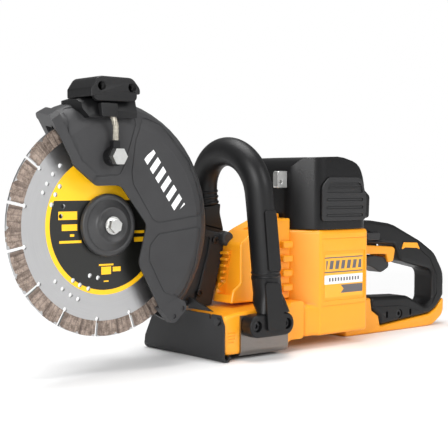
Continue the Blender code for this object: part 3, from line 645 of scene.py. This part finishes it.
black_plastic = plastic("black_glass_filled_nylon", (0.0065, 0.0065, 0.007), 0.42)
knob = refined("guard_handle", "guard_knob")
for x in (-28, 8.5):
    carve(knob, pin("knob_socket", x, 139.0, 4.7, -50, -22, 28))
finished(knob, "guard", "black_plastic", black_plastic, "guard_handle", angle=50)
for node in ("guard_saddle", "hose_boss", "banjo_fitting"):
    finished(refined(node, node + "_moulding"), "guard", "black_plastic", black_plastic, node)
finished(refined("banjo_bolt", "banjo_bolt_plated", 30), "guard", "bright_steel", bright_steel, "banjo_bolt")

braid, braid_shader, wire = new_finish("hose_braid", metallic=0.7)
place, x, y, z = saw_place(wire)
around = x.maths("ARCTAN2", x + 6.5, y + 28) * 8.0
weave = (z * 2.4 + around).sine() * (z * 2.4 - around).sine()
feed(braid_shader, bump=weave, strength=0.7, depth=0.4, roughness=weave * 0.1 + 0.35,
     base_color=wire.mix(weave.soft_step(-0.6, 0.6), (0.22, 0.20, 0.16, 1), (0.72, 0.68, 0.58, 1)))
finished(refined("water_hose", "braided_hose", 60), "guard", "hose_braid", braid, "water_hose")

# ----------------------------------------------------------------------------
# The drive arm: a coated cover screwed to a moulded case, with the belt and
# both pulleys between them. A lip stands along the cover's slanted rear edge.
# ----------------------------------------------------------------------------

COVER_FACE = 28.0
EDGE_TOP = (183.0, -37.0)
EDGE_LOW = (168.0, -92.0)


def edge_at(z):
    """X of the cover's slanted rear edge at a height."""
    share = (z - EDGE_TOP[1]) / (EDGE_LOW[1] - EDGE_TOP[1])
    return EDGE_TOP[0] + share * (EDGE_LOW[0] - EDGE_TOP[0])


cover = rounded(refined("drive_cover", "belt_cover"), 1.2, 2, 60)
lug = rounded(pin("cover_lug", 184.0, -21.5, 8.4, 19, 33.6, 32), 3, 3)
carve(cover, lug, operation="UNION")
hollow = eased([(104, -4), (150, -16), (164, -19), (160, -38), (142, -91), (126, -90), (104, -76)], 4)
carve(cover, slab("cover_hollow", hollow, COVER_FACE - 8, COVER_FACE + 2.6))
cover_coat = coated_metal("cover_coating", (0.028, 0.0285, 0.030), 0.5, 1.2)
finished(cover, "body", "drive_cover", cover_coat, "drive_cover", angle=30)
for node in ("cover_screw_upper", "cover_screw_lower"):
    screw = refined(node, node + "_head")
    x = (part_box(node)[0].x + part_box(node)[1].x) / 2 / MM - AXLE.x / MM
    z = (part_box(node)[0].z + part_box(node)[1].z) / 2 / MM - AXLE.z / MM
    carve(screw, slab("screw_socket", hexagon(2.2, x, z), 20, 26.5))
    finished(screw, "body", "dark_steel", dark_steel, node)
for node in ("drive_case", "drive_lid", "spindle_lock_button"):
    body = "spindle_lock" if node == "spindle_lock_button" else "body"
    finished(refined(node, node + "_moulding"), body, "black_plastic", black_plastic, node)

# ----------------------------------------------------------------------------
# The motor housing: glossy yellow nylon, moulded in one piece with the ribs
# that stiffen it beside the cover and behind the loop handle.
# ----------------------------------------------------------------------------

yellow_shell = plastic("yellow_nylon", (0.93, 0.36, 0.012), 0.33, 1.1, 0.05, 0.1, 0.5)
housing = rounded(refined("motor_housing", "motor_shell"), 0.8, 2, 60)
for x in (205.0, 216.0):
    carve(housing, slab("top_slot", eased([(x, 6), (x + 6.5, 6), (x + 6.5, 19), (x, 19)], 2), -22, 12, "Z"))
wall_panel = eased([(-1.5, -34), (15, -34), (24.5, -88), (-1.5, -88)], 3)
carve(housing, slab("wall_panel_sink", wall_panel, 170, 183.2, "X"))
SHELL_RIBS = ((-29.2, 8.5), (-45.8, 8.5), (-62.9, 8.5), (-80.3, 8.5))
for z, height in SHELL_RIBS:
    rib = slab("side_rib", eased([(243, z - height / 2), (259, z - height / 2), (259, z + height / 2),
                                  (243, z + height / 2)], 2.5), -11.5, -3)
    carve(housing, rounded(rib, 2.4, 3), operation="UNION")
finished(housing, "body", "yellow_shell", yellow_shell, "motor_housing", angle=32)

FIN_PITCH = 7.4
FIN_THICK = 3.6
FIN_FRONT = 177.0
WALL_FRONT = 182.6
fins = []
for number in range(6):
    z = -37.6 - number * FIN_PITCH
    near = 13.0 + number * 2.6
    front = min(edge_at(z) + 1.2, FIN_FRONT)
    fin = slab("fin", eased([(front, near), (WALL_FRONT, near), (WALL_FRONT, 27.4), (front, 27.4)], 1.5),
               z - FIN_THICK / 2, z + FIN_THICK / 2, "Z")
    fins.append(rounded(fin, 0.9, 2))
fins = joined("wall_fins", fins)
finished(fins, "body", "yellow_shell", yellow_shell)

clip = slab("top_clip", eased([(234, -1.5), (236, 3.2), (249, 5.4), (251, 1.6)], 1.2), 20, 31)
finished(rounded(clip, 0.7, 2), "body", "bright_steel", bright_steel)
boss = slab("top_boss", eased([(250, 1.0), (251, 6.5), (259, 7.5), (259.5, 1.0)], 2), 14, 33)
finished(rounded(boss, 1.5, 3), "body", "yellow_shell", yellow_shell)

# ----------------------------------------------------------------------------
# The lower housing: the yellow skirt that carries the foot, with a metal belly
# plate bent round it and a coated steel foot in front, rolled at its bottom.
# ----------------------------------------------------------------------------

skirt = refined("lower_housing", "skirt")
for number in range(4):
    z = -122.0 - number * 3.4
    carve(skirt, brick("vent_mark", (136, -37, z), (148 - number, -35.2, z + 1.5)))
finished(skirt, "body", "yellow_shell", yellow_shell, "lower_housing", angle=32)

PLATE_LIGHT = (0.30, 0.275, 0.255, 1)
PLATE_DARK = (0.15, 0.135, 0.125, 1)
plate_metal = metal("belly_plate_steel", PLATE_LIGHT, PLATE_DARK, 0.34, (0.05, 1, 1), 1.4)
finished(refined("belly_plate", "belly_plate_sheet"), "body", "belly_plate", plate_metal, "belly_plate")

foot_coat = coated_metal("foot_powder_coat", (0.015, 0.015, 0.016), 0.5, 1.2, 0.45)
foot = rounded(refined("foot_plate", "foot_sheet"), 0.4, 2, 60)
finished(foot, "body", "foot_paint", foot_coat, "foot_plate", angle=32)
finished(refined("foot_gusset", "foot_web"), "body", "foot_paint", foot_coat, "foot_gusset")
finished(refined("foot_screw", "foot_screw_head"), "body", "dark_steel", dark_steel, "foot_screw")

# ----------------------------------------------------------------------------
# The rear housing: the electronics' yellow box. Its face has a sunk field for
# the rating label, a ledge under the hood and a raised pad at its foot.
# ----------------------------------------------------------------------------

REAR_FACE = -30.0
rear = refined("rear_housing", "electronics_shell")
field = eased([(291, -98), (364, -98), (364, -38), (291, -38)], 3)
carve(rear, slab("label_field", field, REAR_FACE - 5, REAR_FACE + 1.1))
carve(rear, brick("ledge_line", (288, REAR_FACE - 5, -23.4), (372, REAR_FACE + 0.6, -22.2)),
      brick("pad_line", (288, REAR_FACE - 5, -104.2), (366, REAR_FACE + 0.7, -103.0)))
finished(rear, "body", "yellow_shell", yellow_shell, "rear_housing", angle=32)

sticker = eased([(294, -94), (361, -94), (361, -42), (294, -42)], 1.5)
label = slab("rating_label", sticker, REAR_FACE + 0.75, REAR_FACE + 1.05)
label_print, label_shader, wire = new_finish("rating_label_print", roughness=0.32)
place, x, y, z = saw_place(wire)
LABEL_WHITE = (0.84, 0.84, 0.85, 1)
LABEL_GREY = (0.115, 0.11, 0.12, 1)
SHELL_TINT = (0.95, 0.42, 0.03, 1)
stripe = (abs(z + 46.0) < 0.7) + (abs(z + 63.5) < 0.7)
block = (abs(z + 54.8) < 5.2) * (abs(x - 327.5) < 31.0) * (((x - z * 0.2) * 0.62).sine() > -0.35)
white_row = (abs(z + 72.5) < 5.4)
white_mark = (abs(z + 72.5) < 2.2) * (abs(x - 328) < 28) * ((x * 1.25).sine() > -0.2)
grey_tag = (abs(z + 84.5) < 5.0) * ((x + abs(z + 84.5)) > 327.0)
speck = wire.noise(place, 2.0)
ink = ((stripe + block + white_mark + grey_tag) > 0.5)
colour = wire.mix(white_row, SHELL_TINT, LABEL_WHITE)
colour = wire.mix(ink, colour, LABEL_GREY)
feed(label_shader, base_color=colour, bump=speck, strength=0.1, depth=0.03)
finished(label, "body", "yellow_shell", label_print)

# ----------------------------------------------------------------------------
# The battery bay: a domed black hood over the pack, with a dimple in its top,
# with a grille clipped to its near face and a steel eye for a carrying strap.
# ----------------------------------------------------------------------------

hood_plastic = plastic("hood_plastic", (0.006, 0.006, 0.0065), 0.3, 1.2, 0.1, 0.1)
hood = refined("battery_hood", "bay_hood")
deselect()
bpy.ops.mesh.primitive_cylinder_add(vertices=40, radius=1.0, depth=1.0, location=at(318, 8, 77.4))
dimple = bpy.context.object
dimple.scale = (24 * MM, 15 * MM, 6 * MM)
bpy.ops.object.transform_apply(location=True, rotation=True, scale=True)
carve(hood, rounded(dimple, 2.0, 3))
finished(hood, "body", "hood", hood_plastic, "battery_hood", angle=40)

grille_plastic = plastic("grille_plastic", (0.024, 0.024, 0.025), 0.42, 1.0)
GRILLE_FACE = -32.6
panel_outline = eased([(286, -1.5, 4), (362, -1.5, 5), (364, 25, 8), (355, 51, 13), (297, 51, 11),
                       (286, 40, 9)], 6, 6)
grille = rounded(slab("grille", panel_outline, GRILLE_FACE, -30.2), 1.0, 2, 50)
window = eased([(293, 32, 2), (357, 32, 2), (353.5, 44.5, 8), (297, 44.5, 8)], 4, 6)
carve(grille, slab("grille_window", window, GRILLE_FACE - 1, GRILLE_FACE + 1.7))
for z in (5.0, 14.5, 24.0):
    outline = eased([(293, z - 1.9), (357, z - 1.9), (357, z + 1.9), (293, z + 1.9)], 1.9)
    inner = eased([(294.5, z - 0.9), (355.6, z - 0.9), (355.6, z + 0.9), (294.5, z + 0.9)], 0.9)
    carve(grille, slab("slot_sink", outline, GRILLE_FACE - 1, GRILLE_FACE + 1.3))
    carve(grille, slab("slot_bar", inner, GRILLE_FACE + 0.5, GRILLE_FACE + 1.4), operation="UNION")
finished(grille, "body", "grille", grille_plastic, "grille_panel", angle=40)
for z in (40.4, 37.4):
    bar = eased([(296, z), (354, z), (354, z + 0.9), (296, z + 0.9)], 0.4)
    lip = slab("window_lip", bar, GRILLE_FACE + 0.5, GRILLE_FACE + 1.6)
    finished(lip, "body", "grille", grille_plastic)

strap_lug = rounded(refined("strap_eye", "strap_lug"), 0.5, 2, 60)
finished(strap_lug, "body", "bright_steel", bright_steel, "strap_eye")
finished(refined("bay_bulkhead", "bay_front_wall"), "body", "black_plastic", black_plastic, "bay_bulkhead")

pack = refined("battery_pack", "battery_case")
for z in (34.0, 42.0, 50.0):
    carve(pack, brick("pack_groove", (380, -25, z), (400, 80, z + 1.6)))
finished(pack, "battery", "battery", hood_plastic, "battery_pack", angle=36)
grey_plastic = plastic("grey_plastic", (0.03, 0.03, 0.031), 0.4, 1.0)
latch = rounded(refined("battery_latch", "pack_latch"), 0.6, 2)
finished(latch, "battery_latch", "grey_plastic", grey_plastic, "battery_latch")

# ----------------------------------------------------------------------------
# The loop handle: an aluminium tube under soft black rubber, held to the foot
# of the saw by a boot and a two-screw base, and to the arm by a waisted block.
# ----------------------------------------------------------------------------

grip_rubber = plastic("grip_rubber", (0.0065, 0.0065, 0.007), 0.42, 0.8, 0.2, 0.3)


def rounded_tube(node, name, levels=2):
    """A smooth copy of a swept CAD node whose end rims stay sharp."""
    piece = refined(node, name)
    in_edit_mode(piece,
                 lambda: bpy.ops.mesh.tris_convert_to_quads(face_threshold=math.radians(60),
                                                            shape_threshold=math.radians(60)),
                 lambda: bpy.ops.mesh.select_all(action="DESELECT"),
                 lambda: bpy.ops.mesh.edges_select_sharp(sharpness=math.radians(60)),
                 lambda: bpy.ops.transform.edge_crease(value=1.0))
    return apply_modifier(piece, "SUBSURF", levels=levels, render_levels=levels)


loop = rounded_tube("front_handle", "loop_handle")
NEAR_LEG = -41.0
LEG_FOOT = (193.0, -107.0)
LEG_LEAN = 0.115


def leg_at(z):
    """X of the loop's middle line at a height."""
    return LEG_FOOT[0] - LEG_LEAN * (z - LEG_FOOT[1])


pad = eased([(leg_at(-54) - 9, -54), (leg_at(-54) + 9, -54), (leg_at(14) + 8.5, 14),
             (leg_at(14) - 8.5, 14)], 4)
pad_piece = rounded(slab("grip_pad", pad, NEAR_LEG - 17.1, NEAR_LEG - 8), 0.9, 3, 50)
finished(pad_piece, "body", "grip_rubber", grip_rubber, angle=40)
finished(loop, "body", "grip_rubber", grip_rubber, "front_handle", angle=50)


def collar(name, y, z, grow, thick):
    """A moulded ring round a leg of the loop."""
    deselect()
    bpy.ops.mesh.primitive_torus_add(major_segments=48, minor_segments=10,
                                     major_radius=1.0, minor_radius=0.085)
    ring = bpy.context.object
    ring.name = name
    ring.scale = ((15.0 + grow) * MM, (16.3 + grow) * MM, thick * MM / 0.085)
    ring.rotation_euler = (0.0, -math.atan(LEG_LEAN), 0.0)
    ring.location = at(leg_at(z), y, z)
    bpy.ops.object.transform_apply(location=True, rotation=True, scale=True)
    return ring


rings = [collar("leg_collar", NEAR_LEG, z, -0.2, 1.5) for z in (-55.5, -59.6)]
rings += [collar("leg_collar", 57.0, z, 0.2, 1.8) for z in (20.0, 26.5, 33.0)]
finished(joined("leg_collars", rings), "body", "grip_rubber", grip_rubber)

boot = refined("handle_boot", "leg_boot")
finished(boot, "body", "black_plastic", black_plastic, "handle_boot", angle=50)
base = rounded(refined("handle_base", "leg_base"), 0.6, 2, 60)
finished(base, "body", "black_plastic", black_plastic, "handle_base", angle=36)
far_block = refined("handle_far_base", "far_leg_block")
finished(far_block, "body", "black_plastic", black_plastic, "handle_far_base", angle=40)
for node in ("handle_screw_front", "handle_screw_rear"):
    finished(refined(node, node + "_head"), "body", "dark_steel", dark_steel, node)

# ----------------------------------------------------------------------------
# The rear handle: a D-shaped grip of black overmould on a yellow spine, with
# moulded seams on its side, an inlay over the grip and one bolt low down.
# ----------------------------------------------------------------------------

GRIP_FACE = 8.0
grip = refined("rear_handle", "d_grip")
upper_seam = [(396, -14), (424, -22), (440, -30), (470, -38), (476, -46), (482, -33), (514, -36), (520, -48),
              (540, -60), (555, -84), (555, -108), (546, -122)]
lower_seam = [(424, -118), (478, -120), (508, -127), (528, -135)]
for name, path in (("upper_seam", upper_seam), ("lower_seam", lower_seam)):
    carve(grip, ribbon(name, path, 0.7, GRIP_FACE - 2, GRIP_FACE + 0.8, closed=False))
for x in (451.0, 499.0):
    hole = eased([(x - 2, -135), (x + 2, -135), (x + 2, -126), (x - 2, -126)], 1.8)
    carve(grip, slab("side_hole", hole, 5, 13))
finished(grip, "body", "grip_rubber", grip_rubber, "rear_handle", angle=40)
crescent = eased([(479, -45.5), (483, -35.5), (511.5, -37), (517.5, -46.5), (511, -44), (486, -42.5)], 1.5)
inlay = slab("grip_inlay", crescent, GRIP_FACE - 0.5, GRIP_FACE + 2)
finished(rounded(inlay, 0.4, 2), "body", "yellow_shell", yellow_shell)
spine = refined("handle_spine", "grip_spine")
finished(spine, "body", "yellow_shell", yellow_shell, "handle_spine", angle=36)
finished(refined("grip_bolt", "grip_bolt_head"), "body", "dark_steel", dark_steel, "grip_bolt")
bezel = refined("trigger_frame", "trigger_bezel")
finished(bezel, "body", "yellow_shell", yellow_shell, "trigger_frame", angle=36)
lever = rounded(refined("trigger", "trigger_lever"), 0.5, 2, 60)
finished(lever, "trigger", "grey_plastic", grey_plastic, "trigger", angle=36)
button = rounded(refined("lock_off_button", "lock_off_cap"), 0.4, 2)
finished(button, "lock_off", "grey_plastic", grey_plastic, "lock_off_button", angle=36)

# ----------------------------------------------------------------------------
# What the shells hide: bearings, motor, belt, switch and electronics, each in
# the finish that shows when a cover is lifted away.
# ----------------------------------------------------------------------------

copper = metal("copper_winding", (0.78, 0.36, 0.18, 1), (0.42, 0.17, 0.08, 1), 0.35, (1, 0.1, 1), 1.2)
belt_rubber = plastic("belt_rubber", (0.018, 0.018, 0.018), 0.7, 0.6, 0.2, 0.5)
board = plastic("circuit_board", (0.015, 0.12, 0.05), 0.4, 0.4, 0.3, 0.3)
INSIDE = (
    ("spindle_bearing_near", "body", "bright_steel", bright_steel),
    ("spindle_bearing_far", "body", "bright_steel", bright_steel),
    ("motor_bearing_near", "body", "bright_steel", bright_steel),
    ("motor_bearing_far", "body", "bright_steel", bright_steel),
    ("motor_stator", "body", "copper", copper),
    ("drive_belt", "body", "belt", belt_rubber),
    ("controller_module", "body", "circuit_board", board),
    ("terminal_block", "body", "grey_plastic", grey_plastic),
    ("switch_block", "body", "black_plastic", black_plastic),
    ("motor_rotor", "rotor", "dark_steel", dark_steel),
    ("cooling_fan", "rotor", "black_plastic", black_plastic),
    ("motor_pulley", "rotor", "dark_steel", dark_steel),
)
for node, body, slot, material in INSIDE:
    finished(refined(node, node + "_inside"), body, slot, material, node)
